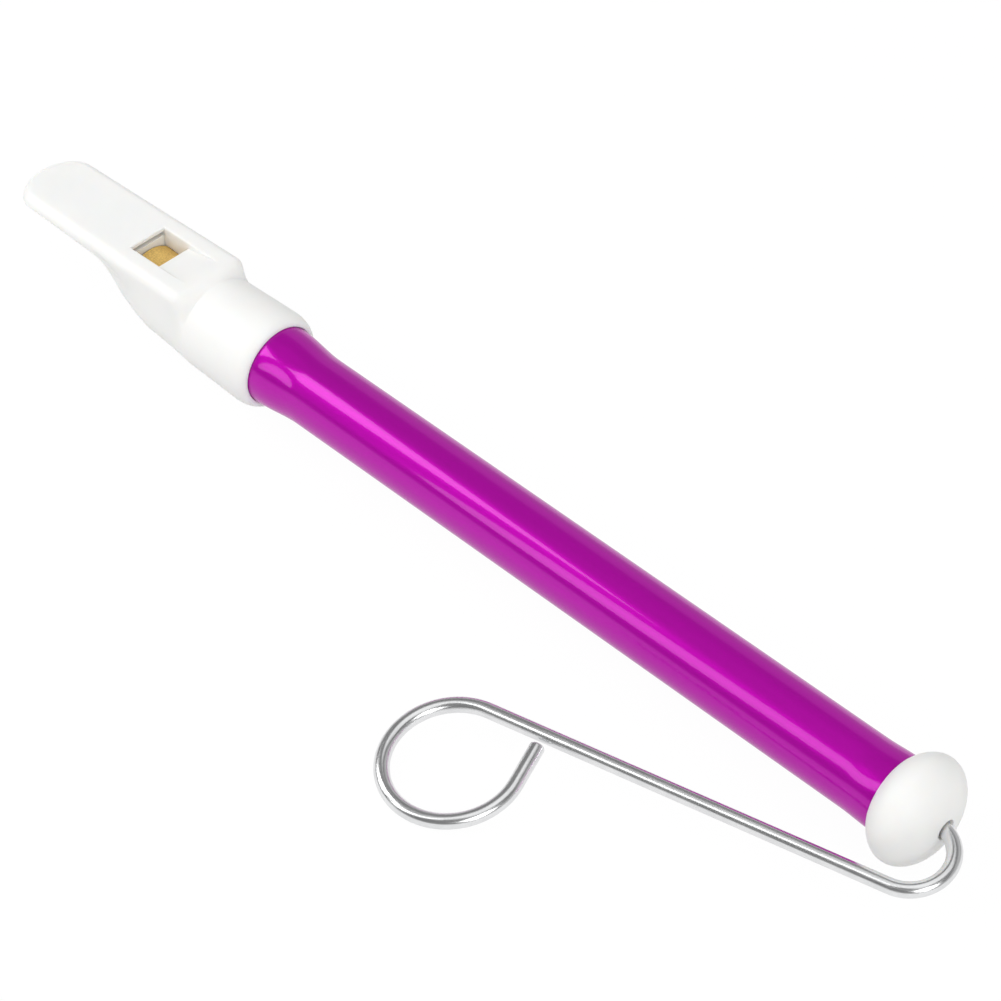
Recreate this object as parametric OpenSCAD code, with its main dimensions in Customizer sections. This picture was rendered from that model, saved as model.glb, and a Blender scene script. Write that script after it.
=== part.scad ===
// Slide whistle: a beaked mouthpiece, a belled tube, a ball-shaped end cap,
// and a bent wire slide with a leather-wrapped plunger.
//
// Most modules draw in the tube's own frame: x runs along the tube's axis from the
// mouthpiece to the cap, x = 0 is the open face of the collar, and z points up through
// the window. on_floor() then sets the whistle down with its lowest points at z = 0 and
// the middle of its outline over the origin.

/* [Tube] */
// Outside diameter of the straight tube
tube_d = 16; // [14:0.5:16.5]
// Wall of the tube
tube_wall = 0.6; // [0.5:0.1:1.2]
// Length of tube between the collar and the cap
tube_show = 171; // [120:1:240]
// How far the mouthpiece end of the tube is belled out, on the radius
bell_rise = 1; // [0.6:0.1:1.4]
// Length over which the bell narrows to the straight tube
bell_len = 12; // [5:1:20]
// How far the cap end of the tube is belled out, on the radius
cap_bell_rise = 0.3; // [0.1:0.1:0.6]
// Length over which the cap end widens
cap_bell_len = 8; // [4:1:14]

/* [Collar] */
// Outside diameter of the collar at its open face
collar_d = 22.2; // [21.6:0.2:28]
// Length of the collar
collar_len = 21; // [17:1:28]
// How much the collar narrows towards the beak, on the radius
collar_draft = 0.5; // [0:0.1:0.8]
// Length over which the rim at the open face is rounded
rim_len = 4; // [1:0.5:6]
// Depth of the groove that takes the tube
socket_depth = 13.5; // [8:0.5:15]

/* [Beak] */
// Length of the beak from the collar to its tip
beak_len = 56.5; // [50:0.5:70]
// Width of the beak near its tip
beak_w = 18; // [16:0.5:19]
// Width of the beak at the step
step_w = 19.6; // [19:0.1:21]
// Height of the beak's top above the tube's axis at the tip
tip_top = 9.5; // [9:0.1:10]
// Height of the beak's top above the tube's axis at the step
step_top = 11.3; // [11:0.1:12.5]
// Thickness of the beak at the tip
tip_thick = 3; // [2.6:0.1:3.6]
// Length over which the tip rounds off, seen from above
tip_round = 7; // [3:0.5:12]
// Radius along the top edges
top_edge_r = 2.2; // [1:0.1:2.6]
// How much the underside falls from the tip to the throat
underside_fall = 2.2; // [1:0.1:3]
// Length of the throat, over which the underside falls on to the belly
throat_len = 8.5; // [7:0.5:11]
// How far the throat reaches past the window's front edge
throat_over = 1.5; // [0.8:0.1:2]
// How much the belly narrows towards the window, on the radius
belly_fall = 2.6; // [1.5:0.1:2.8]
// How far the beak's top reaches over the collar before the step
step_over = 2; // [1:0.5:3]
// Length of the rounded slope at the step
step_len = 3; // [2:0.5:4]
// Radius of the step's corners, seen from above
step_corner_r = 1.5; // [0.5:0.5:3]

/* [Window and windway] */
// Distance from the collar's open face to the window's lip
lip_at = 33.6; // [31:0.2:34.4]
// Length of the window along the whistle
window_len = 7.9; // [6.5:0.1:8.5]
// Width of the window, the ramp and the windway
window_w = 9.4; // [8:0.1:11]
// How far the lip lies below the beak's top
lip_drop = 1.6; // [1.3:0.1:1.9]
// Length of the ramp that rises from the lip to the beak's top
ramp_len = 9.6; // [7:0.2:10]
// Thickness of the lip's edge
lip_edge = 0.4; // [0.2:0.1:0.6]
// Height of the windway
windway_h = 1.1; // [0.8:0.1:1.3]
// Plastic above the windway
roof_thick = 1; // [0.8:0.1:1.2]

/* [End cap] */
// Diameter of the cap
cap_d = 23.6; // [22:0.2:28]
// Half of the flattened ball's length along the tube
cap_half_len = 7.4; // [6.5:0.1:9]
// Depth of the tube in the cap
cap_socket = 5; // [4:0.5:6]
// Diameter of the hole that the wire slides through
cap_hole_d = 4.3; // [4:0.1:5]
// Diameter of the hollow behind that hole
cap_hollow_d = 11; // [8:0.5:12]
// Depth of that hollow
cap_hollow_len = 3.6; // [2:0.2:4]

/* [Wire] */
// Diameter of the wire
wire_d = 3.2; // [2.8:0.1:3.4]
// Radius of the U-bend, at the wire's centre
bend_r = 8.2; // [6:0.1:12]
// How far inside the cap's hole the U-bend starts
bend_sink = 1.9; // [0.4:0.1:2.2]
// Angle between the arm and the tube, in degrees
arm_angle = 12.75; // [6:0.05:18]
// Length of the straight arm
arm_len = 87.5; // [60:0.5:110]
// Radius of the finger loop, at the wire's centre
loop_r = 13.7; // [11:0.1:16]
// How far the loop turns, in degrees
loop_turn = 275.3; // [250:0.1:278]
// Length of the straight tail
tail_len = 9.6; // [4:0.1:9.8]

/* [Plunger] */
// Length of the core between the washers
core_len = 14; // [8:0.5:20]
// Diameter of the core
core_d = 11; // [8:0.5:12]
// Thickness of the front and rear washers
washer_thick = 1; // [0.8:0.1:1.4]
// Diameter of the upset head on the wire's inner end
head_d = 4.8; // [4:0.1:6]
// Thickness of that head
head_thick = 0.5; // [0.3:0.1:0.6]
// Diameter of the push-on retaining ring
ring_d = 6.6; // [5.5:0.1:7.5]
// Thickness of the retaining ring
ring_thick = 1; // [0.6:0.1:1.5]

/* [Hidden] */

// Fits, all of them on the radius
glued_fit = 0.05;
running_fit = 0.05;
ring_fit = 0.02;
// Gap along the axis between pieces that turn or stop against each other
end_gap = 0.05;
// Gap between the plunger's face and the end of the bore when the slide is in
stop_gap = 0.3;
// Gap on each side of the fipple block
block_fit = 0.03;
// How far cuts overrun a face
over = 1;
// Length of the mark at each end of a bend, and how far it stands out
mark_len = 0.4;
mark_rise = 0.02;
// Chamfer on the cap's hole, and on the plunger's leather
hole_chamfer = 0.4;
leather_chamfer = 0.4;
// Plain ring of cap round the tube, on the radius
cap_rim = 0.2;
// Share of the collar's wall that is rounded off at its open face
rim_share = 0.85;
// Share of the ramp's length and of the bore's radius that the hollow under the lip takes
hollow_share = 0.75;
// Share of the plunger's diameter that the washers in its ends take
washer_share = 0.84;

// Faces round a full turn, and steps along a curve
$fn = 96;
curve_steps = 10;
ball_steps = 24;

// Tube
tube_r = tube_d / 2;
bore_r = tube_r - tube_wall;
bell_r = tube_r + bell_rise;
cap_bell_r = tube_r + cap_bell_rise;
tube_end = tube_show + cap_socket;

// Mouthpiece, along the axis
tip_x = -collar_len - beak_len;
lip_x = -lip_at;
window_x = lip_x - window_len;
step_x = step_over - collar_len;
belly_x = window_x + throat_over;
throat_x = belly_x - throat_len;

// Mouthpiece, across the axis
collar_r = collar_d / 2;
collar_back_r = collar_r - collar_draft;
rim_r = rim_share * (collar_r - bell_r - glued_fit);
// Side of a block that cuts right through the mouthpiece
cut_side = 2 * collar_d;
top_slope = atan((step_top - tip_top) / (step_x - tip_x));
side_taper = atan((step_w - beak_w) / 2 / (step_x - tip_x));
tip_low = tip_top - tip_thick;
throat_low = tip_low - underside_fall;

// Cap
cap_r = cap_d / 2;
cap_rim_r = cap_bell_r + cap_rim;
cap_mid_x = tube_show + cap_half_len * sqrt(1 - pow(cap_rim_r / cap_r, 2));
cap_pole_x = cap_mid_x + cap_half_len;

// Wire, in the plane of the handle: x along the tube, v away from it
wire_r = wire_d / 2;
bend_x = cap_pole_x - bend_sink;
bend_turn = 180 - arm_angle;
arm_start = [bend_x + bend_r * sin(bend_turn), bend_r - bend_r * cos(bend_turn)];
arm_end = arm_start + arm_len * [cos(bend_turn), sin(bend_turn)];
loop_mid = arm_end + loop_r * [sin(arm_angle), cos(arm_angle)];
loop_far = loop_mid[1] + loop_r;

// Plunger, along the axis
plunger_x = window_x + stop_gap;
core_x = plunger_x + washer_thick;
rear_washer_x = core_x + core_len;
ring_x = rear_washer_x + washer_thick + end_gap;
leather_r = bore_r - running_fit;
leather_end = rear_washer_x + washer_thick;
washer_r = washer_share * leather_r;
head_x = plunger_x + end_gap;

// The whistle lies on its widest round piece, and the loop lies on the floor beside it
rest_r = max(collar_r, cap_r);
handle_drop = asin((rest_r - wire_r) / loop_far);
mid_x = (tip_x + bend_x + bend_r + wire_r) / 2;
mid_y = (rest_r - loop_far * cos(handle_drop) - wire_r) / 2;

// Share of a rise, from 0 to 1, that starts and ends level
function ease(t) = (1 - cos(180 * t)) / 2;
// Height of the beak's top at x
function top_at(x) = tip_top + (x - tip_x) * tan(top_slope);
// Radius of the belly at x: it narrows faster towards the window
function belly_at(x) =
  collar_back_r - belly_fall * pow((x + collar_len) / (belly_x + collar_len), 2);

module on_floor() {
  translate([-mid_x, -mid_y, rest_r])
    children();
}

// Turns a profile, drawn as radius and x, round the tube's axis
module turned() {
  rotate([0, 90, 0])
    rotate_extrude()
      children();
}

// A plain rod or bore along the axis
module round_x(r, from, to) {
  translate([from, 0, 0])
    rotate([0, 90, 0])
      cylinder(r = r, h = to - from);
}

// A flat ring along the axis
module flat_ring(r, hole, from, thick) {
  difference() {
    round_x(r, from, from + thick);
    round_x(hole, from - over, from + thick + over);
  }
}

// Draws an outline given as x and z, with a width across the whistle
module side_cut(width) {
  translate([0, width / 2, 0])
    rotate([90, 0, 0])
      linear_extrude(width)
        children();
}

// Outline of the beak from the side: a round nose, the straight top, the step,
// and an underside that falls on to the belly
module beak_side() {
  nose_r = tip_thick / 2;
  polygon(concat(
    [for (i = [0 : curve_steps])
      [tip_x + nose_r - nose_r * sin(180 * i / curve_steps),
       tip_low + nose_r - nose_r * cos(180 * i / curve_steps)]],
    [for (i = [0 : curve_steps])
      let (x = step_x - step_len * (1 - i / curve_steps))
      [x, top_at(x) - (top_at(step_x) - collar_back_r) * (1 - cos(90 * i / curve_steps))]],
    [[step_x, -collar_r - over], [belly_x, -collar_r - over]],
    [for (i = [curve_steps : -1 : 0])
      [throat_x + throat_len * i / curve_steps,
       throat_low - (throat_low + collar_r) * ease(i / curve_steps)]]
  ));
}

// Outline of the beak from above: half an oval at the tip, sides that widen a little,
// and small round corners at the step
module beak_plan() {
  half = beak_w / 2;
  corner_x = step_x - step_corner_r;
  corner_y = step_w / 2 - step_corner_r;
  polygon(concat(
    [for (i = [-curve_steps : curve_steps])
      let (a = 90 * i / curve_steps)
      [tip_x + tip_round * (1 - cos(a)), half * sin(a)]],
    [for (i = [0 : curve_steps])
      let (a = 90 * i / curve_steps)
      [corner_x + step_corner_r * sin(a), corner_y + step_corner_r * cos(a)]],
    [for (i = [curve_steps : -1 : 0])
      let (a = 90 * i / curve_steps)
      [corner_x + step_corner_r * sin(a), -corner_y - step_corner_r * cos(a)]]
  ));
}

// Section of the beak's block, as width and height below the top: one top edge is
// rounded, at half the beak's width, and the other side is left wide
module beak_section() {
  half = beak_w / 2;
  translate([-beak_w, -step_top])
    square([beak_w + half, step_top - top_edge_r]);
  translate([-beak_w, -step_top])
    square([beak_w + half - top_edge_r, step_top]);
  translate([half - top_edge_r, -top_edge_r])
    circle(r = top_edge_r);
}

// Follows the beak's top: x runs along it from above the tip, z is measured from it
module along_top() {
  translate([tip_x, 0, tip_top])
    rotate([0, -top_slope, 0])
      children();
}

// The block with one top edge rounded: the side with that edge turns outwards
module beak_edge_block() {
  length = step_x - tip_x + over;
  along_top()
    rotate([90, 0, 90 + side_taper])
      translate([0, 0, -over])
        linear_extrude(length + over)
          beak_section();
}

// The block that carries the beak's flat top, down to the tube's axis
module beak_block() {
  intersection() {
    beak_edge_block();
    mirror([0, 1, 0])
      beak_edge_block();
    side_cut(collar_d)
      beak_side();
    translate([0, 0, -over])
      linear_extrude(step_top + 2 * over)
        beak_plan();
  }
}

// The rounded belly under the window, cut off along the beak's underside
module belly() {
  steps = curve_steps;
  intersection() {
    turned()
      polygon(concat(
        [[0, throat_x]],
        [for (i = [0 : steps])
          let (x = throat_x + (belly_x - throat_x) * i / steps)
          [belly_at(belly_x), x]],
        [for (i = [1 : steps])
          let (x = belly_x + (-collar_len - belly_x) * i / steps)
          [belly_at(x), x]],
        [[0, -collar_len]]
      ));
    side_cut(collar_d)
      beak_side_full();
  }
}

// The side outline carried on to the collar, so that it trims only the belly's front
module beak_side_full() {
  beak_side();
  translate([belly_x, -collar_r - over])
    square([-collar_len - belly_x, collar_r + over + collar_back_r]);
}

// The collar: a little narrower towards the beak, with a rounded rim at the open face
module collar() {
  turned()
    polygon(concat(
      [[0, -collar_len], [collar_back_r, -collar_len]],
      [for (i = [0 : curve_steps])
        let (a = 90 * i / curve_steps)
        [collar_r - rim_r * (1 - cos(a)), -rim_len * (1 - sin(a))]],
      [[0, 0]]
    ));
}

// Whole outside of the mouthpiece and its fipple block
module mouthpiece_outside() {
  beak_block();
  belly();
  collar();
}

// Slot from the tip to the window, open below, with its ceiling at the given depth
// under the beak's top
module slot(width, depth) {
  intersection() {
    along_top()
      translate([-over, -width / 2, -depth - cut_side])
        cube([2 * beak_len, width, cut_side]);
    translate([tip_x - over, -width / 2, -collar_d])
      cube([window_x - tip_x + over, width, cut_side]);
  }
}

// Window through the top, straight down into the bore
module window() {
  translate([window_x, -window_w / 2, 0])
    cube([window_len, window_w, step_top + over]);
}

// Ramp from the lip up to the beak's top
module ramp() {
  side_cut(window_w)
    polygon([
      [lip_x - over, top_at(lip_x) - lip_drop],
      [lip_x, top_at(lip_x) - lip_drop],
      [lip_x + ramp_len, top_at(lip_x + ramp_len)],
      [lip_x + ramp_len, step_top + over],
      [lip_x - over, step_top + over]
    ]);
}

// Hollow under the lip, which leaves it with a thin edge
module lip_hollow() {
  side_cut(window_w)
    polygon([
      [lip_x - over, 0],
      [lip_x - over, top_at(lip_x) - lip_drop - lip_edge],
      [lip_x, top_at(lip_x) - lip_drop - lip_edge],
      [lip_x + ramp_len * hollow_share, bore_r * hollow_share],
      [lip_x + ramp_len * hollow_share, 0]
    ]);
}

// Groove that the tube's belled end is pushed into
module tube_groove() {
  difference() {
    round_x(bell_r + glued_fit, -socket_depth, over);
    round_x(bell_r - tube_wall - glued_fit, -socket_depth - over, 0);
  }
}

module mouthpiece() {
  color("white")
    on_floor()
      difference() {
        mouthpiece_outside();
        slot(window_w, roof_thick);
        window();
        ramp();
        lip_hollow();
        round_x(bore_r, window_x, over);
        tube_groove();
      }
}

module fipple_block() {
  color("ghostwhite")
    on_floor()
      intersection() {
        mouthpiece_outside();
        slot(window_w - 2 * block_fit, roof_thick + windway_h);
      }
}

// Tube wall as radius and x: belled at both ends, inside and outside alike
module barrel() {
  bell = [for (i = [0 : curve_steps])
    [bell_rise * (1 - ease(i / curve_steps)), bell_len * i / curve_steps]];
  cap_bell = [for (i = [0 : curve_steps])
    [cap_bell_rise * ease(i / curve_steps),
     tube_show - cap_bell_len * (1 - i / curve_steps)]];
  line = concat([[bell_rise, -socket_depth]], bell, cap_bell, [[cap_bell_rise, tube_end]]);
  last = len(line) - 1;
  color("darkmagenta")
    on_floor()
      turned()
        polygon(concat(
          [for (p = line) [tube_r + p[0], p[1]]],
          [for (i = [last : -1 : 0]) [bore_r + line[i][0], line[i][1]]]
        ));
}

// A flattened ball with a flat face round the tube, a socket, a hollow and the wire's hole
module end_cap() {
  hole_r = cap_hole_d / 2;
  start = acos((cap_mid_x - tube_show) / cap_half_len);
  sweep = 180 - start;
  color("white")
    on_floor()
      difference() {
        turned()
          polygon(concat(
            [[0, tube_show]],
            [for (i = [0 : ball_steps])
              let (a = start + sweep * i / ball_steps)
              [cap_r * sin(a), cap_mid_x - cap_half_len * cos(a)]]
          ));
        round_x(cap_bell_r + glued_fit, tube_show - over, tube_end);
        round_x(cap_hollow_d / 2, tube_end - over, tube_end + cap_hollow_len);
        round_x(hole_r, tube_end, cap_pole_x + over);
        turned()
          polygon([
            [0, cap_pole_x - hole_chamfer],
            [hole_r, cap_pole_x - hole_chamfer],
            [hole_r + 2 * hole_chamfer, cap_pole_x + hole_chamfer],
            [0, cap_pole_x + hole_chamfer]
          ]);
      }
}

// Straight wire along x from here, and what follows it
module straight(length) {
  rotate([0, 90, 0])
    cylinder(r = wire_r, h = length);
  translate([length, 0, 0])
    children();
}

// Faint ring round the wire where a bend starts or ends: the bending tool's mark
module tool_mark() {
  translate([-mark_len / 2, 0, 0])
    rotate([0, 90, 0])
      cylinder(r = wire_r + mark_rise, h = mark_len);
}

// Bent wire that starts along x and turns to the side given, and what follows it
module bend(r, turn, side) {
  trim = asin(mark_len / 4 / r);
  sweep = turn - 2 * trim;
  tool_mark();
  translate([0, side * r, 0])
    rotate([0, 0, side > 0 ? trim - 90 : 90 - turn + trim])
      rotate_extrude(angle = sweep)
        translate([r, 0])
          circle(r = wire_r);
  translate([0, side * r, 0])
    rotate([0, 0, side * turn])
      translate([0, -side * r, 0]) {
        tool_mark();
        children();
      }
}

// One wire: slide, U-bend, arm, loop and tail, in a plane that slopes down to the floor
module slide_rod() {
  color("silver")
    on_floor() {
      round_x(head_d / 2, head_x, head_x + head_thick);
      translate([head_x, 0, 0])
        rotate([handle_drop, 0, 0])
          mirror([0, 1, 0])
            straight(bend_x - head_x)
              bend(bend_r, bend_turn, 1)
                straight(arm_len)
                  bend(loop_r, loop_turn, -1)
                    straight(tail_len);
    }
}

module plunger_core() {
  color("burlywood")
    on_floor()
      flat_ring(core_d / 2, wire_r + running_fit, core_x, core_len);
}

// Leather sleeve round the core and both washers, with both outer edges chamfered
module plunger_leather() {
  hole = core_d / 2 + glued_fit;
  washer_hole = washer_r + glued_fit;
  color("goldenrod")
    on_floor()
      turned()
        polygon([
          [washer_hole, plunger_x], [leather_r - leather_chamfer, plunger_x],
          [leather_r, plunger_x + leather_chamfer], [leather_r, leather_end - leather_chamfer],
          [leather_r - leather_chamfer, leather_end], [washer_hole, leather_end],
          [washer_hole, rear_washer_x], [hole, rear_washer_x],
          [hole, core_x], [washer_hole, core_x]
        ]);
}

// The front washer has a recess for the wire's head
module front_washer() {
  color("gold")
    on_floor()
      difference() {
        flat_ring(washer_r, wire_r + running_fit, plunger_x, washer_thick);
        round_x(head_d / 2 + running_fit, plunger_x - over, head_x + head_thick + end_gap);
      }
}

module rear_washer() {
  color("gold")
    on_floor()
      flat_ring(washer_r, wire_r + running_fit, rear_washer_x, washer_thick);
}

module retaining_ring() {
  color("dimgray")
    on_floor()
      flat_ring(ring_d / 2, wire_r + ring_fit, ring_x, ring_thick);
}

mouthpiece();
fipple_block();
barrel();
end_cap();
slide_rod();
plunger_core();
plunger_leather();
front_washer();
rear_washer();
retaining_ring();
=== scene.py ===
import math

import bmesh
import bpy
import numpy as np
from mathutils import Matrix, Vector


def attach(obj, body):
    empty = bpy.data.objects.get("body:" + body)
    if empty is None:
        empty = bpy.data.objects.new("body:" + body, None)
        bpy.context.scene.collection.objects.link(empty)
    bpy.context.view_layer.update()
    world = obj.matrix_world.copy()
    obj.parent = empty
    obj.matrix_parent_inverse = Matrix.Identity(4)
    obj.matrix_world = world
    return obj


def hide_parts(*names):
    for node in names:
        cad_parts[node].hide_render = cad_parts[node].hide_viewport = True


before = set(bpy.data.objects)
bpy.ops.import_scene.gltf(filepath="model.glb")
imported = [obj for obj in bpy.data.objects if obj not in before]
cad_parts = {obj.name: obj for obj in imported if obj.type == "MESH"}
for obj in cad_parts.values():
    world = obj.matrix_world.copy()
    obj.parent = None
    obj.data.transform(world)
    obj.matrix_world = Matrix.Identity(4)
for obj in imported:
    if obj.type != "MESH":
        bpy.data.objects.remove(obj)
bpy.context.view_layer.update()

# Sizes are millimetres along the tube's own axes: x runs from the collar's open face
# towards the cap, y across, z up. They become metres in the frame as a mesh is made.
MM = 0.001

# Clearance between a piece and what it sits in, and how far drawn surfaces stay inside the solids
CLEAR, SKIN = 0.05, 0.01

# Tube: radius, wall, how far it goes into the collar, where it leaves sight and ends in the cap,
# and how much and how far it is belled at the collar and at the cap
TUBE_R, WALL, SOCKET = 8.0, 0.6, 13.5
TUBE_SHOW, TUBE_END = 171.0, 176.0
BELL, BELL_LEN, CAP_BELL, CAP_BELL_LEN = 1.0, 12.0, 0.3, 8.0
BORE_R = TUBE_R - WALL
BELL_R, CAP_END_R = TUBE_R + BELL, TUBE_R + CAP_BELL

# Collar: radius at the front and at the back, length, and how long and deep its rounded rim is
COLLAR_R, COLLAR_BACK_R, COLLAR_LEN = 11.1, 10.6, 21.0
RIM_LEN, RIM_FALL = 4.0, 1.7425

# Beak: places along x, the length of the rounded tip, and the radius of the top's edges
TIP, THROAT, BELLY, STEP = -77.5, -48.5, -40.0, -19.0
TIP_LEN, TOP_EDGE = 7.0, 2.2
# Where the rounded tip ends: the air slot takes the very point of the nose away
NOSE = TIP + 0.1
# Height and half width of the top at the tip, and what each gains up to the step
TIP_TOP, TOP_RISE, TIP_HALF, HALF_RISE = 9.5, 1.8, 9.0, 0.8
# Height of the underside at the tip, its fall up to the throat, how much the belly's radius
# shrinks, how softly the two meet, and how soon the underside reaches its depth behind the nose
UNDER_TIP, UNDER_FALL, BELLY_FALL, MELT, BLUNT = 6.5, 2.2, 2.6, 0.8, 1.6
# How square the beak's lower half is: the power of its super-ellipse, where 2 is round
UNDER_POWER = 2.6

# Fold of the step into the collar: where it ends, where it starts on top and low on the side,
# and from which angle off the top, over how many degrees, it moves from one to the other
FOLD_FOOT, FOLD_TOP, FOLD_LOW = -19.4, -22.7, -30.0
FOLD_FROM, FOLD_TURN, FOLD_POWER = 88.0, 40.0, 1.8

# Window: front edge, the lip and the ramp's end along x, half width, rounding of its upper edge,
# depth of the lip under the top, its thickness, and how far the hollow under it runs back
WINDOW, LIP, RAMP_END = -41.5, -33.6, -24.0
WINDOW_HALF, WINDOW_EDGE = 4.7, 0.35
LIP_DEPTH, LIP_THICK, HOLLOW_RUN = 1.6, 0.4, 7.2
# Air slot: depth of its ceiling and of its floor under the beak's top, and the block's half width
SLOT_CEILING, SLOT_FLOOR, BLOCK_HALF = 1.0, 2.1, WINDOW_HALF - 0.03

# Cap: radius, half its thickness, the radius at which the ball starts on the tube, the hole for
# the wire with its rounding, and the hollow behind it
CAP_R, CAP_HALF, CAP_FACE_R = 11.8, 7.4, 8.5
CAP_HOLE_R, CAP_LIP, CAP_HOLLOW_R, CAP_HOLLOW_LEN = 2.15, 0.2, 5.5, 3.6
CAP_MID = TUBE_SHOW + CAP_HALF * math.sqrt(1 - (CAP_FACE_R / CAP_R) ** 2)

# Wire: radius, where the bend starts, its radius, the arm's angle to the tube and length, the
# finger loop's radius and turn, the tail, the upset head and the broken edge at the cut end
WIRE_R, BEND_X, BEND_R = 1.6, CAP_MID + CAP_HALF - 1.9, 8.2
ARM_ANGLE, ARM_LEN, LOOP_R, LOOP_TURN, TAIL_LEN = 12.75, 87.5, 13.7, 275.3, 9.6
HEAD_LEN, HEAD_HALF, HEAD_RISE, CUT_LEN, CUT_FALL = 0.5, 0.3, 0.8, 0.5, 0.4

# Plunger: its front face, washers, core, leather and push-on ring
PLUNGER, WASHER, CORE_LEN, CORE_R = WINDOW + 0.3, 1.0, 14.0, 5.5
PLUNGER_END = PLUNGER + CORE_LEN + 2 * WASHER
LEATHER_R = BORE_R - CLEAR
WASHER_R = 0.84 * LEATHER_R
RING_HOLE_R, RING_R, RING = WIRE_R + 0.02, 3.3, 1.0

# How far the loop's outer side is from the slide, and so how far the handle turns down to the floor
ARM_LEAN = math.radians(ARM_ANGLE)
LOOP_FAR = (BEND_R + LOOP_R) * (1 + math.cos(ARM_LEAN)) + ARM_LEN * math.sin(ARM_LEAN)
DROP = math.asin((CAP_R - WIRE_R) / LOOP_FAR)

# The part is centred in length and width, and the cap rests on the floor
tube_start = MM * np.array([
    -(TIP + BEND_X + BEND_R + WIRE_R) / 2,
    (LOOP_FAR * math.cos(DROP) + WIRE_R - CAP_R) / 2,
    CAP_R,
])


# Curves of the forms

def ease(t):
    """Rises from 0 to 1 and is level at both ends: 3 t squared less 2 t cubed."""
    t = np.clip(t, 0.0, 1.0)
    return t * t * (3 - 2 * t)


def quarter(t):
    """Falls from 1 to 0 like a quarter of a circle: the root of 1 less t squared."""
    return np.sqrt(np.maximum(1 - t ** 2, 0.0))


def fall_in(depth, radius):
    """How far a rounded edge lies below the flat, at a distance in from the outline:
    r less the root of r squared less (r - distance) squared."""
    inside = radius - np.clip(depth, 0.0, radius)
    return radius - np.sqrt(np.maximum(radius ** 2 - inside ** 2, 0.0))


def beak_top(x):
    """Height of the beak's flat top: a straight line that rises from the tip to the step."""
    return TIP_TOP + (x - TIP) * TOP_RISE / (STEP - TIP)


def side_line(x):
    """Half width of the beak, which widens evenly from the tip to the step."""
    return TIP_HALF + (x - TIP) * HALF_RISE / (STEP - TIP)


def belly_radius(x):
    """Radius of the belly: the collar's, less a share that grows with the square of the
    distance from the collar, up to the throat."""
    away = (np.clip(x, THROAT, -COLLAR_LEN) + COLLAR_LEN) / (BELLY + COLLAR_LEN)
    return COLLAR_BACK_R - BELLY_FALL * away ** 2


def underside(x):
    """Lowest height of the beak: a slow fall, then an eased drop over the throat, on to the
    belly. Where the drop meets the belly the two are joined by a soft maximum."""
    slow = UNDER_TIP - UNDER_FALL * np.clip((x - TIP) / (THROAT - TIP), 0, 1)
    over = np.clip((x - THROAT) / (BELLY - THROAT), 0, 1)
    drop = slow - (UNDER_TIP - UNDER_FALL + COLLAR_R) * (1 - np.cos(np.pi * over)) / 2
    belly = -belly_radius(x)
    apart = drop - belly
    soft = (drop + belly + np.sqrt(apart ** 2 + MELT ** 2)) / 2
    return soft - MELT ** 2 / 4 / (1.0 + np.abs(apart))


def collar_radius(x):
    """Radius of the collar: it widens evenly to its front, where the rim is a quarter of an oval."""
    widening = COLLAR_BACK_R + (COLLAR_R - COLLAR_BACK_R) * (x + COLLAR_LEN) / (COLLAR_LEN - RIM_LEN)
    rim = quarter(np.clip(x + RIM_LEN, 0, RIM_LEN) / RIM_LEN)
    return np.where(x > -RIM_LEN, COLLAR_R - RIM_FALL * (1 - rim), widening)


def beak_sections(x):
    """Sections across the mouthpiece, one for each x, each from the top's middle round one side
    to the underside's middle. The top is flat with a rounded edge, measured in from an outline
    that is half an oval at the tip. The side falls to the axis, and the lower part is a
    super-ellipse whose power eases to 2 on the belly. At the step the distance from the axis
    goes over into the collar's circle, later on top than low on the side."""
    x = x[:, None]
    width = side_line(x)
    nose, deep = TIP + TIP_LEN, TIP + TIP_LEN - NOSE
    ahead = np.minimum(x - nose, 0.0)
    half = width * quarter(ahead / deep)
    band = np.minimum(TOP_EDGE, half)
    flat = (half - band) * np.linspace(0, 1, 12)[None, :]
    rounded = half - band * (1 - np.sin(np.linspace(0, np.pi / 2, 9)[None, 1:]))
    y_top = np.concatenate([flat, rounded], axis=1)
    bulge = 1 - (ahead / deep) ** 2 - (y_top / width) ** 2
    steepness = np.hypot(2 * ahead / deep ** 2, 2 * y_top / width ** 2)
    inwards = np.where(x < nose, bulge / np.maximum(steepness, 1e-6), half - y_top)
    z_top = beak_top(x) - fall_in(inwards, TOP_EDGE)

    along = ease((x - THROAT) / (BELLY - THROAT))
    shoulder = beak_top(x) - TOP_EDGE
    hip = shoulder * (1 - along)
    lean = np.maximum(width - belly_radius(x) - 0.1, 0.0) * along
    waist = np.maximum(half - lean, 0.0)
    down = np.linspace(0, 1, 13)[None, 1:]
    y_side = half + (waist - half) * ease(down)
    z_side = shoulder + (hip - shoulder) * down

    power = UNDER_POWER - (UNDER_POWER - 2) * along
    a = np.linspace(0, np.pi / 2, 25)[None, 1:]
    spread = (np.cos(a) ** power + np.sin(a) ** power) ** (-1 / power)
    blunt = np.clip((x - NOSE) / BLUNT, 0, 1)
    depth = (hip - underside(x)) * quarter(1 - blunt)
    y_low = waist * np.cos(a) * spread
    z_low = hip - depth * np.sin(a) * spread
    y_low[:, -1] = 0.0

    y = np.concatenate([y_top, y_side, y_low], axis=1)
    z = np.concatenate([z_top, z_side, z_low], axis=1)
    angle = np.arctan2(y, z)
    reach = np.hypot(y, z)
    lower = ease((angle - math.radians(FOLD_FROM)) / math.radians(FOLD_TURN))
    start = FOLD_TOP + (FOLD_LOW - FOLD_TOP) * lower
    share = np.clip((x - start) / (FOLD_FOOT - start), 0.0, 1.0) ** FOLD_POWER
    reach = reach + (collar_radius(x) - reach) * share
    return reach * np.sin(angle), reach * np.cos(angle)


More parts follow.
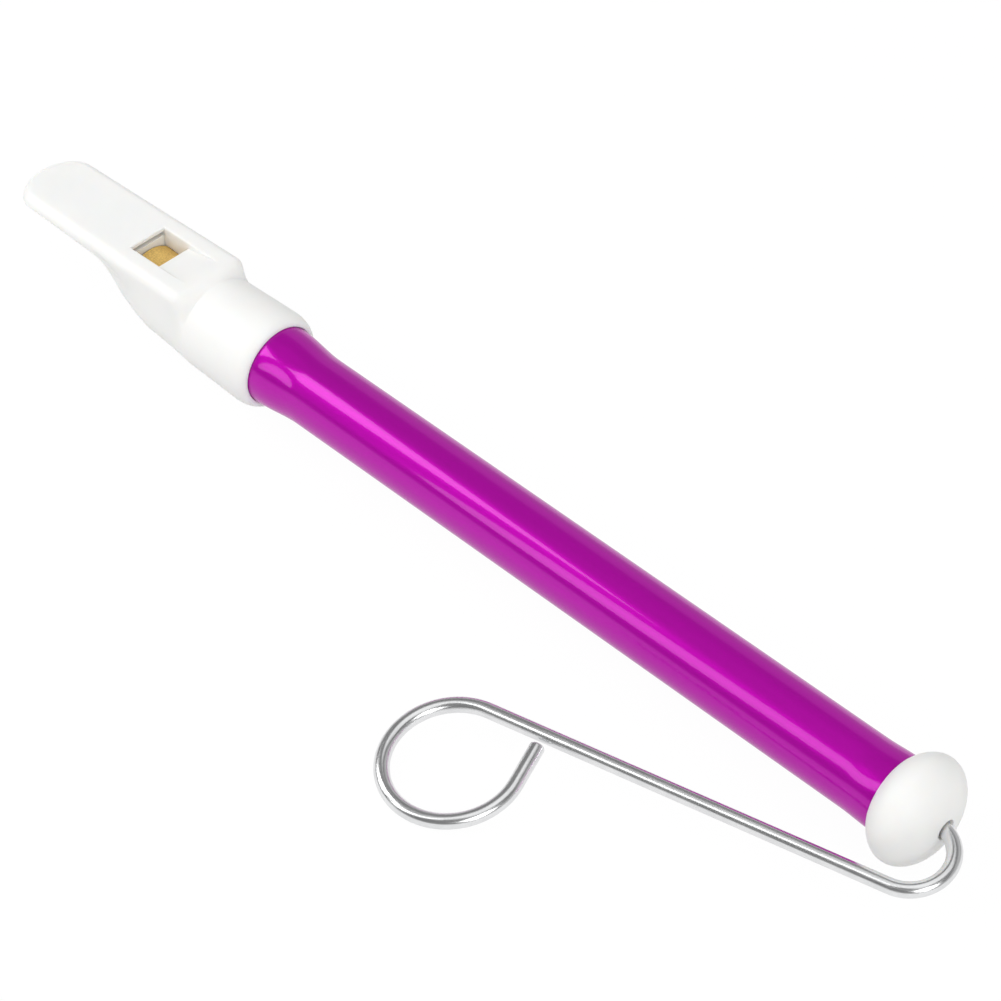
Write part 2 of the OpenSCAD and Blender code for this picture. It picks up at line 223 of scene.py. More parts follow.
def mirrored_rings(x, y, z):
    """Closed rings from half sections that start and end on the middle plane."""
    ring_y = np.concatenate([y, -y[:, -2:0:-1]], axis=1)
    ring_z = np.concatenate([z, z[:, -2:0:-1]], axis=1)
    return np.stack([np.broadcast_to(x[:, None], ring_y.shape), ring_y, ring_z], axis=-1)


def mouthpiece_skin():
    """The mouthpiece's whole outside as closed rings of points along x, closest at the fold."""
    fold_from, fold_to = -23.0, -18.0
    b = np.linspace(0, np.pi / 2, 25)
    x = np.concatenate([
        TIP + TIP_LEN - (TIP + TIP_LEN - NOSE) * np.cos(b),
        np.linspace(TIP + TIP_LEN, THROAT, 14)[1:],
        np.linspace(THROAT, BELLY, 19)[1:],
        np.linspace(BELLY, fold_from, 15)[1:],
        np.linspace(fold_from, fold_to, 27)[1:],
        np.linspace(fold_to, -RIM_LEN, 9)[1:],
        -RIM_LEN + RIM_LEN * np.sin(b[::2])[1:],
    ])
    return mirrored_rings(x, *beak_sections(x))


def turned(profile, segments=128):
    """A profile given as x and radius, carried once round the tube's axis:
    y is r times the cosine and z is r times the sine of the angle."""
    profile = np.asarray(profile, float)
    a = np.linspace(0, 2 * np.pi, segments, endpoint=False)[None, :]
    x, r = profile[:, :1], profile[:, 1:]
    rings = [np.broadcast_to(x, (len(profile), segments)), r * np.cos(a), r * np.sin(a)]
    return np.stack(rings, axis=-1)


def arc(middle, radius, start, end, steps=6):
    """Points on a quarter or other arc, as x and radius, from one angle to another in degrees."""
    a = np.radians(np.linspace(start, end, steps))
    return np.stack([middle[0] + radius * np.cos(a), middle[1] + radius * np.sin(a)], axis=-1)


def soft_disc(x0, x1, hole, rim, edge):
    """Closed profile of a disc between two x, with its four edges rounded to one small radius."""
    return np.concatenate([
        arc((x0 + edge, rim - edge), edge, 180, 90),
        arc((x1 - edge, rim - edge), edge, 90, 0),
        arc((x1 - edge, hole + edge), edge, 0, -90),
        arc((x0 + edge, hole + edge), edge, 270, 180),
    ])


# Meshes

def grid_faces(rows, columns, round_rows):
    """Four-sided faces between neighbours on a grid of closed rings. The last ring can meet the first."""
    i = np.arange(rows if round_rows else rows - 1)[:, None]
    j = np.arange(columns)[None, :]
    i2, j2 = (i + 1) % rows, (j + 1) % columns
    corners = [i * columns + j, i * columns + j2, i2 * columns + j2, i2 * columns + j]
    return np.stack(np.broadcast_arrays(*corners), axis=-1).reshape(-1, 4)


def skin(name, grid, round_rows=False, smooth_angle=35.0, uv_lengths=None):
    """An object from a grid of rings. Open ends are closed by a fan to the ring's middle, doubles
    are merged, and faces are turned outwards. uv_lengths gives each ring's distance along it."""
    rows, columns = grid.shape[:2]
    points = grid.reshape(-1, 3)
    faces = grid_faces(rows, columns, round_rows).tolist()
    if not round_rows:
        j = np.arange(columns)
        j2 = (j + 1) % columns
        last = (rows - 1) * columns
        points = np.vstack([points, grid[0].mean(0), grid[-1].mean(0)])
        faces += np.stack([j, np.full(columns, rows * columns), j2], -1).tolist()
        faces += np.stack([last + j, last + j2, np.full(columns, rows * columns + 1)], -1).tolist()
    mesh = bpy.data.meshes.new(name)
    mesh.from_pydata((points * MM + tube_start).tolist(), [], faces)
    if uv_lengths is not None:
        layer = mesh.uv_layers.new(name="along")
        i = np.repeat(np.arange(rows - 1), columns)
        c = np.tile(np.arange(columns), rows - 1)
        u = np.stack([uv_lengths[i], uv_lengths[i], uv_lengths[i + 1], uv_lengths[i + 1]], -1)
        v = np.stack([c, c + 1, c + 1, c], -1) / columns
        sides = np.stack([u, v], -1).reshape(-1, 2)
        fans = np.tile([[uv_lengths[-1], 0.5]], (2 * columns * 3, 1))
        layer.data.foreach_set("uv", np.vstack([sides, fans]).astype(np.float32).ravel())
    tidy_mesh(mesh, smooth_angle)
    piece = bpy.data.objects.new(name, mesh)
    bpy.context.scene.collection.objects.link(piece)
    return piece


def tidy_mesh(mesh, smooth_angle=35.0):
    """Merges doubles, drops slivers, turns faces outwards, and shades smooth up to an angle.
    A closed skin whose volume comes out negative is inside out, so it is turned round."""
    work = bmesh.new()
    work.from_mesh(mesh)
    bmesh.ops.remove_doubles(work, verts=work.verts, dist=2e-7)
    bmesh.ops.dissolve_degenerate(work, edges=work.edges, dist=2e-7)
    bmesh.ops.recalc_face_normals(work, faces=work.faces)
    if work.calc_volume(signed=True) < 0:
        bmesh.ops.reverse_faces(work, faces=work.faces)
    work.to_mesh(mesh)
    work.free()
    mesh.shade_smooth()
    mesh.set_sharp_from_angle(angle=math.radians(smooth_angle))


def carve(piece, steps):
    """Cuts or keeps a piece by others in turn, bakes the result and removes the cutters."""
    for operation, cutter in steps:
        cut = piece.modifiers.new(cutter.name, "BOOLEAN")
        cut.operation, cut.object, cut.solver = operation, cutter, "MANIFOLD"
        bpy.context.view_layer.update()
        evaluated = piece.evaluated_get(bpy.context.evaluated_depsgraph_get())
        baked = bpy.data.meshes.new_from_object(evaluated)
        piece.modifiers.clear()
        piece.data = baked
        bpy.data.objects.remove(cutter)
    tidy_mesh(piece.data)
    return piece


def prism(name, outline, half):
    """A solid with the given outline, as x and z, that spans the same distance to each side."""
    outline = np.asarray(outline, float)
    side = np.stack([outline[:, 0], np.full(len(outline), half), outline[:, 1]], -1)
    return skin(name, np.stack([side * [1, -1, 1], side]))


def window_cutter():
    """The opening in the top as sections along x: a shaft down into the bore, then the ramp.
    Its upper edges are rounded, less where the ramp runs out."""
    bend = np.linspace(0, np.pi / 2, 6)
    front = WINDOW - WINDOW_EDGE * (1 - np.sin(bend))
    ramp = np.linspace(LIP, RAMP_END, 9)
    x = np.concatenate([front, [WINDOW, LIP], ramp])
    top = beak_top(x)
    lip_height = beak_top(LIP) - LIP_DEPTH
    rise = lip_height + (beak_top(RAMP_END) - lip_height) * (ramp - LIP) / (RAMP_END - LIP)
    floor = np.concatenate([beak_top(front) - WINDOW_EDGE * (1 - np.cos(bend)), [0.0, 0.0], rise])
    flare = np.minimum(WINDOW_EDGE, 0.6 * np.maximum(top - floor, 0.0))
    flare[:len(bend)] = WINDOW_EDGE
    floor, top, flare = floor[:, None], top[:, None], flare[:, None]
    turn = bend[None, ::-1]
    above = top + 1.5
    y = np.concatenate([
        np.broadcast_to([0.0, WINDOW_HALF / 2, WINDOW_HALF], (len(x), 3)),
        WINDOW_HALF + flare * (1 - np.sin(turn)),
        WINDOW_HALF + flare, 0 * flare,
    ], axis=1)
    z = np.concatenate([
        np.broadcast_to(floor, (len(x), 3)), top - flare * (1 - np.cos(turn)), above, above,
    ], axis=1)
    return skin("window_cut", mirrored_rings(x, y, np.maximum(z, floor)))


def slot_cutter(name, half, depth, x_end):
    """A block from well below the beak up to a ceiling that lies at a depth under the top."""
    x0, below = TIP - 1.0, -20.0
    return prism(name, [
        [x0, beak_top(x0) - depth], [x_end, beak_top(x_end) - depth], [x_end, below], [x0, below],
    ], half)


def mouthpiece_shell():
    """The white moulding: the outside skin less the bore, the groove that holds the tube, the
    windway slot, the hollow under the lip, and the window with its ramp."""
    piece = skin("mouthpiece_shell", mouthpiece_skin())
    lip = beak_top(LIP) - LIP_DEPTH - LIP_THICK
    inner, outer, mouth = BELL_R - WALL - CLEAR, BELL_R + CLEAR, BELL_R + 0.22
    groove = [[-SOCKET, inner], [-SOCKET, outer], [-0.2, outer], [0.02, mouth], [1.0, mouth], [1.0, inner]]
    under_lip = [[LIP - 1, 0], [LIP - 1, lip], [LIP, lip],
                 [LIP + HOLLOW_RUN, 0.75 * BORE_R], [LIP + HOLLOW_RUN, 0]]
    return carve(piece, [
        ("DIFFERENCE", skin("bore_cut", turned([[WINDOW + SKIN, BORE_R], [1.0, BORE_R]]))),
        ("DIFFERENCE", skin("groove_cut", turned(groove), round_rows=True)),
        ("DIFFERENCE", slot_cutter("slot_cut", WINDOW_HALF - SKIN, SLOT_CEILING, WINDOW + 0.3)),
        ("DIFFERENCE", prism("hollow_cut", under_lip, WINDOW_HALF - SKIN)),
        ("DIFFERENCE", window_cutter()),
    ])


def windway_block():
    """The floor of the air slot: the same outside skin, kept between the slot's walls and
    below its air gap."""
    piece = skin("windway_block", mouthpiece_skin())
    return carve(piece, [("INTERSECT", slot_cutter("block_keep", BLOCK_HALF, SLOT_FLOOR, WINDOW))])


def barrel_tube():
    """The tube's wall: belled by an eased rise at the collar and at the cap, edges rounded."""
    bell = np.linspace(0, BELL_LEN, 17)
    cap_bell = np.linspace(TUBE_SHOW - CAP_BELL_LEN, TUBE_SHOW, 11)
    straight = np.linspace(BELL_LEN, TUBE_SHOW - CAP_BELL_LEN, 14)[1:-1]
    rise = np.concatenate([
        BELL * (1 - ease(bell / BELL_LEN)), 0 * straight,
        CAP_BELL * ease((cap_bell - cap_bell[0]) / CAP_BELL_LEN),
    ])
    outer = np.stack([np.concatenate([bell, straight, cap_bell]), TUBE_R + rise], -1)
    inner = outer[::-1] - [0, WALL]
    edge = 0.2
    profile = np.concatenate([
        arc((-SOCKET + edge, BELL_R - edge), edge, 180, 90), outer,
        arc((TUBE_END - edge, CAP_END_R - edge), edge, 90, 0),
        arc((TUBE_END - edge, CAP_END_R - WALL + edge), edge, 0, -90), inner,
        arc((-SOCKET + edge, BELL_R - WALL + edge), edge, 270, 180),
    ])
    return skin("barrel_tube", turned(profile, 160), round_rows=True)


def cap_ball():
    """The flattened ball: an oval turned round the axis, a rounded mouth round the wire, a hollow
    behind it and the socket that holds the tube."""
    mouth = CAP_HOLE_R + CAP_LIP
    mouth_x = CAP_MID + CAP_HALF * math.sqrt(1 - (mouth / CAP_R) ** 2)
    socket, back = CAP_END_R + CLEAR, TUBE_END + CAP_HOLLOW_LEN
    lead, flare = 0.25, 0.07
    first = math.degrees(math.acos((CAP_MID - TUBE_SHOW) / CAP_HALF)) + 2.0
    last = 180 - math.degrees(math.asin(mouth / CAP_R))
    a = np.radians(np.linspace(first, last, 60))
    ball = np.stack([CAP_MID - CAP_HALF * np.cos(a), (CAP_R - SKIN) * np.sin(a)], -1)
    profile = np.concatenate([
        [[TUBE_SHOW + lead, socket], [TUBE_SHOW, socket + flare]], ball,
        arc((mouth_x - CAP_LIP, mouth), CAP_LIP, 0, -90)[1:],
        [[back, CAP_HOLE_R], [back, CAP_HOLLOW_R], [TUBE_END, CAP_HOLLOW_R], [TUBE_END, socket]],
    ])
    return skin("cap_ball", turned(profile, 160), round_rows=True)


def slide_path():
    """Middle line of the wire in the handle's plane, with the direction it runs in, its distance
    along and its thickness: a straight slide, the U-bend, the arm, the finger loop and the tail.
    Each bend is an arc, so the direction never jumps. The head swells like half an oval, and
    the cut end's edge is broken by a quarter of one."""
    lengths = [
        BEND_X - PLUNGER - CLEAR, BEND_R * (math.pi - ARM_LEAN),
        ARM_LEN, LOOP_R * math.radians(LOOP_TURN), TAIL_LEN,
    ]
    curls = [0.0, 1 / BEND_R, 0.0, -1 / LOOP_R, 0.0]
    marks = np.cumsum([0.0] + lengths)
    slide, cut = HEAD_LEN + 0.2, marks[5] - CUT_LEN
    s = np.concatenate([
        np.linspace(0.0, slide, 13),
        np.linspace(slide, marks[1], 40)[1:],
        np.linspace(marks[1], marks[2], 50)[1:],
        np.linspace(marks[2], marks[3], 20)[1:],
        np.linspace(marks[3], marks[4], 110)[1:],
        np.linspace(marks[4], cut, 8)[1:],
        cut + CUT_LEN * np.sin(np.linspace(0, np.pi / 2, 8))[1:],
    ])
    at = np.zeros((len(s), 2))
    heading = np.zeros(len(s))
    here, way = np.array([PLUNGER + CLEAR, 0.0]), 0.0
    for mark, length, curl in zip(marks, lengths, curls):
        on = np.clip(s - mark, 0, length)
        turn = way + curl * on
        if curl == 0:
            local = here + on[:, None] * [math.cos(way), math.sin(way)]
        else:
            across = [np.sin(turn) - math.sin(way), math.cos(way) - np.cos(turn)]
            local = here + np.stack(across, -1) / curl
        inside = s >= mark - 1e-9
        at[inside], heading[inside] = local[inside], turn[inside]
        here, way = local[-1], turn[-1]
    plain = WIRE_R - SKIN
    head = WIRE_R + HEAD_RISE * quarter((s - HEAD_LEN / 2) / HEAD_HALF)
    tail = plain - CUT_FALL * (1 - quarter((s - cut) / CUT_LEN))
    thick = np.where(s < HEAD_LEN, head, np.where(s > cut, tail, plain))
    return at, heading, s, thick


def slide_wire():
    """The round wire: a circle carried along the slide's path, its plane turned down by the drop
    angle so that the finger loop rests on the floor."""
    at, heading, s, thick = slide_path()
    a = np.linspace(0, 2 * np.pi, 40, endpoint=False)[None, :]
    across = thick[:, None] * np.cos(a)
    rise = thick[:, None] * np.sin(a)
    x = at[:, :1] - across * np.sin(heading)[:, None]
    v = at[:, 1:] + across * np.cos(heading)[:, None]
    y = -v * math.cos(DROP) - rise * math.sin(DROP)
    z = -v * math.sin(DROP) + rise * math.cos(DROP)
    return skin("slide_wire", np.stack([x, y, z], -1), smooth_angle=50, uv_lengths=s * MM)


def leather_wrap():
    """The packing: a sleeve with softened ends, dipped by a bell curve along one line, where
    the strip laps over itself."""
    x0, x1 = PLUNGER, PLUNGER_END
    edge, seat, bed = 0.3, WASHER_R + CLEAR, CORE_R + CLEAR
    lap_at, lap_width, lap_depth = math.radians(115), 0.05, 0.022
    length = np.linspace(x0 + 2 * edge, x1 - 2 * edge, 20)
    outer = np.concatenate([
        arc((x0 + edge, LEATHER_R - edge), edge, 180, 90),
        np.stack([length, np.full(20, LEATHER_R)], -1),
        arc((x1 - edge, LEATHER_R - edge), edge, 90, 0),
    ])
    inner = np.array([
        [x1, seat], [x1 - WASHER, seat], [x1 - WASHER, bed],
        [x0 + WASHER, bed], [x0 + WASHER, seat], [x0, seat],
    ])
    grid = turned(np.vstack([outer, inner]), 160)
    a = np.linspace(0, 2 * np.pi, 160, endpoint=False)
    away = np.abs((a - lap_at + np.pi) % (2 * np.pi) - np.pi)
    dip = 1 - lap_depth * np.exp(-(away / lap_width) ** 2)
    grid[:len(outer), :, 1:] *= dip[None, :, None]
    return skin("leather_wrap", grid, round_rows=True)


def wood_core():
    """The bobbin under the leather: a bored cylinder with chamfered ends and two shallow turned
    grooves, each a bell curve at a third of the length."""
    x0, x1, hole, rim = PLUNGER + WASHER, PLUNGER_END - WASHER, WIRE_R + CLEAR, CORE_R - 0.3
    chamfer, groove_depth, groove_width = 0.4, 0.25, 0.03
    x = np.linspace(x0 + chamfer, x1 - chamfer, 60)
    t = (x - x0) / CORE_LEN
    grooves = np.exp(-((t - 0.33) / groove_width) ** 2) + np.exp(-((t - 0.67) / groove_width) ** 2)
    side = np.stack([x, CORE_R - groove_depth * grooves], -1)
    profile = np.concatenate([[[x0, rim]], side, [[x1, rim], [x1, hole], [x0, hole]]])
    return skin("wood_core", turned(profile, 96), round_rows=True)


def brass_disc(name, x0):
    """A plunger washer that starts at x0, bored for the wire."""
    profile = soft_disc(x0, x0 + WASHER, WIRE_R + CLEAR, WASHER_R, 0.15)
    return skin(name, turned(profile, 96), round_rows=True)


def grip_ring():
    """The push-on ring: its hole is a circle with six slots, so that six tongues bite the wire."""
    x0 = PLUNGER_END + CLEAR
    profile = soft_disc(x0, x0 + RING, RING_HOLE_R, RING_R, 0.18)
    grid = turned(profile, 144)
    a = np.linspace(0, 2 * np.pi, 144, endpoint=False)
    tongues, slot_depth = 6, 0.35
    slot = ease((np.cos(tongues * a) - 0.75) / 0.1)
    inner = profile[:, 1] < (RING_HOLE_R + RING_R) / 2
    grow = np.where(inner[:, None], 1 + slot_depth * slot[None, :], 1.0)
    grid[:, :, 1:] *= grow[:, :, None]
    return skin("grip_ring", grid, round_rows=True)


# Finishes

class Flow:
    """One output of a node. Differences and products on it add Math nodes."""

    def __init__(self, nodes, socket):
        self.nodes, self.socket = nodes, socket

    def __sub__(self, other):
        return self.nodes.maths("SUBTRACT", self, other)

    def __rsub__(self, other):
        return self.nodes.maths("SUBTRACT", other, self)

    def __mul__(self, other):
        return self.nodes.maths("MULTIPLY", self, other)

    __rmul__ = __mul__


class Nodes:
    """A node tree that is filled by one method for every kind of node."""

    def __init__(self, tree):
        self.tree = tree
        tree.nodes.clear()

    def node(self, kind, settings=None, inputs=None, output=0):
        made = self.tree.nodes.new(kind)
        for key, value in (settings or {}).items():
            if key == "stops":
                ramp = made.color_ramp
                ramp.elements[0].position, ramp.elements[0].color = value[0]
                ramp.elements[1].position, ramp.elements[1].color = value[-1]
                for position, colour in value[1:-1]:
                    ramp.elements.new(position).color = colour
            else:
                setattr(made, key, value)
        for key, value in (inputs or {}).items():
            if isinstance(value, Flow):
                self.tree.links.new(value.socket, made.inputs[key])
            else:
                made.inputs[key].default_value = value
        return Flow(self, made.outputs[output]) if made.outputs else None

    def outputs(self, kind, inputs=None):
        made = self.node(kind, None, inputs).socket.node
        return {socket.name: Flow(self, socket) for socket in made.outputs}

    def maths(self, operation, first, second=0.0):
        return self.node("ShaderNodeMath", {"operation": operation}, {0: first, 1: second})

    def place(self, scale=(1, 1, 1)):
        at = self.node("ShaderNodeTexCoord", output="Object")
        return self.node("ShaderNodeMapping", None, {"Vector": at, "Scale": scale})

    def noise(self, where, scale, detail=2.0, rough=0.5):
        return self.node("ShaderNodeTexNoise", None,
                         {"Vector": where, "Scale": scale, "Detail": detail, "Roughness": rough})

    def span(self, share, start, end, low, high):
        return self.node("ShaderNodeMapRange", None, {0: share, 1: start, 2: end, 3: low, 4: high})

    def between(self, noise, low, high):
        return self.span(noise, 0.25, 0.75, low, high)

    def blend(self, share, first, second):
        first, second = (c if isinstance(c, Flow) else [*c, 1.0] for c in (first, second))
        return self.node("ShaderNodeMix", {"data_type": "RGBA"}, {0: share, 6: first, 7: second}, output=2)

    def bump(self, height, strength, distance):
        return self.node("ShaderNodeBump", None,
                         {"Height": height, "Strength": strength, "Distance": distance})


def surface(name, sockets, build):
    """A material from one Principled shader: plain values first, then what build returns."""
    material = bpy.data.materials.new(name)
    material.use_nodes = True
    nodes = Nodes(material.node_tree)
    shader = nodes.node("ShaderNodeBsdfPrincipled", None, {**sockets, **build(nodes)})
    nodes.node("ShaderNodeOutputMaterial", None, {"Surface": shader})
    return material


def moulded_white(tint, roughness):
    """Injection-moulded plastic: an even off-white with a faint cloud, satin gloss, fine grain."""
    def build(n):
        where = n.place()
        cloud = n.noise(where, 90.0, 3.0)
        grain = n.noise(where, 2600.0, 2.0)
        return {
            "Base Color": n.blend(n.between(cloud, 0.0, 1.0), tint, [c * 0.975 for c in tint]),
            "Roughness": n.between(cloud, roughness - 0.05, roughness + 0.06),
            "Normal": n.bump(grain, 0.05, 0.00004),
        }
    return build


def purple_lacquer(n):
    """Candy lacquer on a drawn metal tube: the colour deepens in faint lengthwise streaks under
    a clear coat."""
    streaks = n.noise(n.place((6.0, 260.0, 260.0)), 1.0, 4.0, 0.6)
    dust = n.noise(n.place(), 1700.0, 3.0)
    return {
        "Base Color": n.blend(n.between(streaks, 0.0, 1.0), (0.510, 0.0, 0.425), (0.450, 0.0, 0.375)),
        "Roughness": n.between(dust, 0.21, 0.27),
        "Normal": n.bump(dust, 0.02, 0.00002),
    }


def drawn_wire(n):
    """Bright drawn steel wire: fine lines along the wire, from its own length and angle, and
    slight dulling."""
    uv = n.node("ShaderNodeTexCoord", output="UV")
    parts = n.outputs("ShaderNodeSeparateXYZ", {"Vector": uv})
    turn = parts["Y"] * (2 * math.pi)
    ring = n.node("ShaderNodeCombineXYZ", None, {
        "X": n.maths("COSINE", turn) * 14.0,
        "Y": n.maths("SINE", turn) * 14.0,
        "Z": parts["X"] * 40.0,
    })
    lines = n.noise(ring, 1.0, 3.0, 0.65)
    wear = n.noise(n.place(), 220.0, 3.0)
    return {
        "Base Color": n.blend(n.between(wear, 0.0, 1.0), (0.88, 0.885, 0.89), (0.76, 0.765, 0.775)),
        "Roughness": n.between(lines, 0.16, 0.30),
        "Normal": n.bump(lines, 0.12, 0.00004),
    }


def tan_leather(n):
    """Oak-tanned leather: small cells with darker creases, a soft cloud of colour, a matt face."""
    where = n.place()
    cells = n.node("ShaderNodeTexVoronoi", {"feature": "DISTANCE_TO_EDGE"},
                   {"Vector": where, "Scale": 1500.0})
    cloud = n.noise(where, 260.0, 4.0)
    crease = n.span(cells, 0.0, 0.12, 0.0, 1.0)
    base = n.blend(n.between(cloud, 0.0, 1.0), (0.80, 0.55, 0.17), (0.69, 0.45, 0.125))
    return {
        "Base Color": n.blend(crease, (0.55, 0.35, 0.10), base),
        "Roughness": n.between(cloud, 0.55, 0.75),
        "Normal": n.bump(crease, 0.25, 0.00005),
    }


def beech_grain(n):
    """Turned wood: long fibres along the axis with short darker flecks."""
    fibre = n.noise(n.place((60.0, 900.0, 900.0)), 1.0, 5.0, 0.6)
    fleck = n.noise(n.place((300.0, 1500.0, 1500.0)), 1.0, 2.0)
    clean = n.blend(n.between(fibre, 0.0, 1.0), (0.58, 0.38, 0.20), (0.44, 0.26, 0.12))
    return {
        "Base Color": n.blend(n.span(fleck, 0.6, 0.7, 0.0, 0.5), clean, (0.30, 0.17, 0.08)),
        "Roughness": n.between(fibre, 0.45, 0.65),
        "Normal": n.bump(fibre, 0.2, 0.00005),
    }


def punched_metal(light, dark, low, high):
    """Stamped sheet metal: dulled in clouds, with fine scratches across the face."""
    def build(n):
        cloud = n.noise(n.place(), 500.0, 4.0)
        scratch = n.noise(n.place((300.0, 3000.0, 500.0)), 1.0, 3.0)
        return {
            "Base Color": n.blend(n.between(cloud, 0.0, 1.0), light, dark),
            "Roughness": n.between(scratch, low, high),
            "Normal": n.bump(scratch, 0.1, 0.00002),
        }
    return build


MILKY = {
    "Specular IOR Level": 0.3,
    "Subsurface Weight": 0.35, "Subsurface Scale": 0.0015, "Subsurface Radius": (1.0, 0.8, 0.62),
}
CANDY = {
    "Metallic": 0.42, "Specular IOR Level": 0.1, "Specular Tint": (0.8, 0.05, 0.7, 1.0),
    "Coat Weight": 0.55, "Coat Roughness": 0.04, "Coat IOR": 1.5,
}
BARE = {"Metallic": 1.0}
white = surface("white_plastic", MILKY, moulded_white((0.88, 0.88, 0.865), 0.40))
block_white = surface("block_plastic", MILKY, moulded_white((0.88, 0.87, 0.84), 0.36))
purple = surface("purple_lacquer", CANDY, purple_lacquer)
steel = surface("drawn_steel_wire", BARE, drawn_wire)
leather = surface("tan_leather", {"Specular IOR Level": 0.35}, tan_leather)
wood = surface("turned_beech", {"Specular IOR Level": 0.4}, beech_grain)
brass = surface("washer_brass", BARE, punched_metal((0.80, 0.58, 0.26), (0.62, 0.42, 0.17), 0.22, 0.4))
spring = surface("spring_steel", BARE, punched_metal((0.40, 0.41, 0.43), (0.22, 0.23, 0.25), 0.28, 0.45))


# Pieces on their bodies

def fit(piece, material, body, node):
    """Gives a piece its finish and its body, and hides the CAD node it stands for."""
    piece.data.materials.clear()
    piece.data.materials.append(material)
    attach(piece, body)
    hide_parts(node)


fit(mouthpiece_shell(), white, "whistle", "mouthpiece")
fit(windway_block(), block_white, "whistle", "fipple_block")
fit(barrel_tube(), purple, "whistle", "barrel")
fit(cap_ball(), white, "whistle", "end_cap")
fit(slide_wire(), steel, "rod", "slide_rod")
fit(leather_wrap(), leather, "plunger", "plunger_leather")
fit(wood_core(), wood, "plunger", "plunger_core")
fit(brass_disc("front_disc", PLUNGER), brass, "plunger", "front_washer")
fit(brass_disc("rear_disc", PLUNGER_END - WASHER), brass, "plunger", "rear_washer")
fit(grip_ring(), spring, "rod", "retaining_ring")


# Studio

def studio_floor():
    """A wide pale table, white to the eye and in reflections, which still takes the whistle's
    soft shadow: a share of white light replaces its paint, more for the eye than in metal."""
    side = 3.0
    corners = [(-side, -side, 0), (side, -side, 0), (side, side, 0), (-side, side, 0)]
    mesh = bpy.data.meshes.new("table")
    mesh.from_pydata(corners, [], [(0, 1, 2, 3)])
    table = bpy.data.objects.new("table", mesh)
    bpy.context.scene.collection.objects.link(table)
    material = bpy.data.materials.new("pale_table")
    material.use_nodes = True
    n = Nodes(material.node_tree)
    paint = n.node("ShaderNodeBsdfDiffuse", None, {"Color": (0.70, 0.70, 0.70, 1)})
    glow = n.node("ShaderNodeEmission", None, {"Color": (1, 1, 1, 1), "Strength": 1.02})
    path = n.outputs("ShaderNodeLightPath")
    seen = path["Is Camera Ray"] * 0.95
    mirrored = n.maths("MAXIMUM", path["Is Glossy Ray"] * 0.7, path["Is Transmission Ray"])
    share = n.maths("MAXIMUM", seen, mirrored)
    look = n.node("ShaderNodeMixShader", None, {0: share, 1: paint, 2: glow})
    n.node("ShaderNodeOutputMaterial", None, {"Surface": look})
    mesh.materials.append(material)


def studio_air():
    """White round the whistle as seen, and an even soft fill. In reflections the horizon is
    pale and the ceiling dark: a direction's height, less nine tenths of how far it points to
    the back, sets how dark."""
    world = bpy.data.worlds.new("studio")
    bpy.context.scene.world = world
    world.use_nodes = True
    n = Nodes(world.node_tree)
    path = n.outputs("ShaderNodeLightPath")
    way = n.outputs("ShaderNodeSeparateXYZ", {"Vector": n.node("ShaderNodeTexCoord", output="Generated")})
    behind = n.maths("MAXIMUM", way["Y"], 0.0)
    greys = [(0.0, 0.5), (0.07, 0.22), (0.5, 0.20), (1.0, 0.26)]
    ceiling = n.node("ShaderNodeValToRGB", {"stops": [(at, (grey, grey, grey, 1)) for at, grey in greys]},
                     {0: way["Z"] - behind * 0.9})
    fill = n.node("ShaderNodeBackground", None, {"Color": (1, 1, 1, 1), "Strength": 0.56})
    mirror = n.node("ShaderNodeBackground", None, {"Color": ceiling, "Strength": 1.0})
    white_out = n.node("ShaderNodeBackground", None, {"Color": (1, 1, 1, 1), "Strength": 1.0})
    air = n.node("ShaderNodeMixShader", None, {0: path["Is Glossy Ray"], 1: fill, 2: mirror})
    for ray in ("Is Transmission Ray", "Is Camera Ray"):
        air = n.node("ShaderNodeMixShader", None, {0: path[ray], 1: air, 2: white_out})
    n.node("ShaderNodeOutputWorld", None, {"Surface": air})


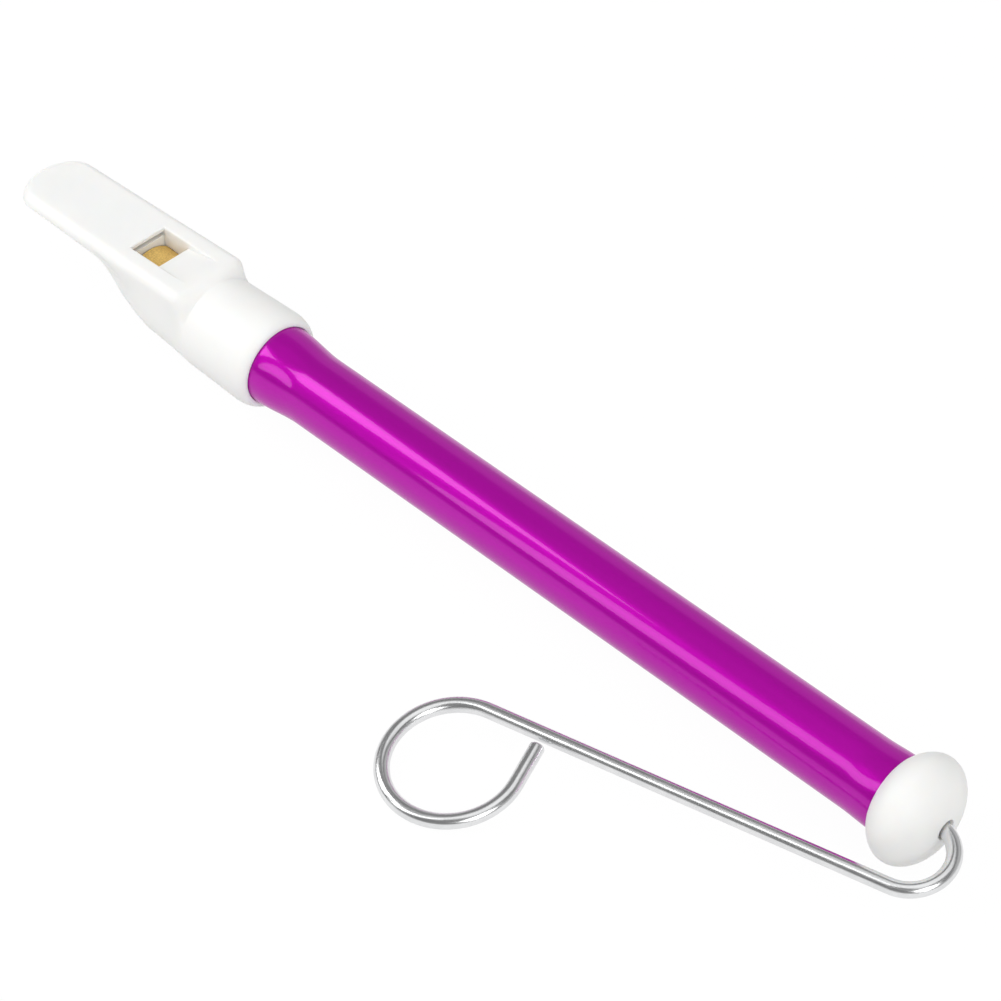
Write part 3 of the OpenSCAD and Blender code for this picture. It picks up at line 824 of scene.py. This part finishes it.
def soft_light(name, at, towards, size, power, shape="RECTANGLE", turn=0.0):
    """A flat lamp that faces a point. Its first side runs along x, turned up by an angle in degrees."""
    lamp = bpy.data.lights.new(name, "AREA")
    lamp.shape = shape
    lamp.size, lamp.size_y = size
    lamp.energy = power
    holder = bpy.data.objects.new(name, lamp)
    bpy.context.scene.collection.objects.link(holder)
    back = (Vector(at) - Vector(towards)).normalized()
    level = Vector((1, 0, 0))
    level = (level - back * level.dot(back)).normalized()
    up = back.cross(level)
    angle = math.radians(turn)
    across = level * math.cos(angle) + up * math.sin(angle)
    up = up * math.cos(angle) - level * math.sin(angle)
    turned_to = Matrix((across, up, back)).transposed().to_4x4()
    holder.matrix_world = Matrix.Translation(Vector(at)) @ turned_to


def photo_camera(at, back, focal):
    """The camera that took the photo, upright: its place, the direction behind it, its lens."""
    back = back.normalized()
    right = Vector((-back.y, back.x, 0)).normalized()
    lens = bpy.data.cameras.new("photo_camera")
    lens.lens, lens.sensor_width, lens.clip_start = focal, 36.0, 0.01
    eye = bpy.data.objects.new("photo_camera", lens)
    bpy.context.scene.collection.objects.link(eye)
    turned_to = Matrix((right, back.cross(right), back)).transposed().to_4x4()
    eye.matrix_world = Matrix.Translation(at) @ turned_to
    bpy.context.scene.camera = eye


# Two softboxes at the front left face the same way, and their edges draw the tube's highlights
start = Vector(tube_start)
facing = Vector((-0.5014, -0.6217, 0.6017))
left, right = start + Vector((-0.535, -0.329, 0.473)), start + Vector((-0.163, -0.543, 0.562))
soft_light("softbox_left", left, left - facing, (0.52, 0.36), 1.85, "RECTANGLE", 51.0)
soft_light("softbox_right", right, right - facing, (0.90, 0.20), 1.0, "ELLIPSE", 56.0)
soft_light("overhead", (0.15, 0.10, 1.5), (0, 0, 0), (1.3, 1.3), 4.0)
soft_light("fill", (1.3, -0.5, 0.7), (0.05, 0, 0), (0.9, 0.9), 8.0)
studio_floor()
studio_air()

# Fitted to the tube's two outlines, its round junction at the collar and the hole in the cap
photo_camera(start + Vector((453.436, -386.262, 529.201)) * MM,
             Vector((0.51152817, -0.50983677, 0.69166856)), 135.54)
bpy.context.scene.view_settings.view_transform = "Standard"
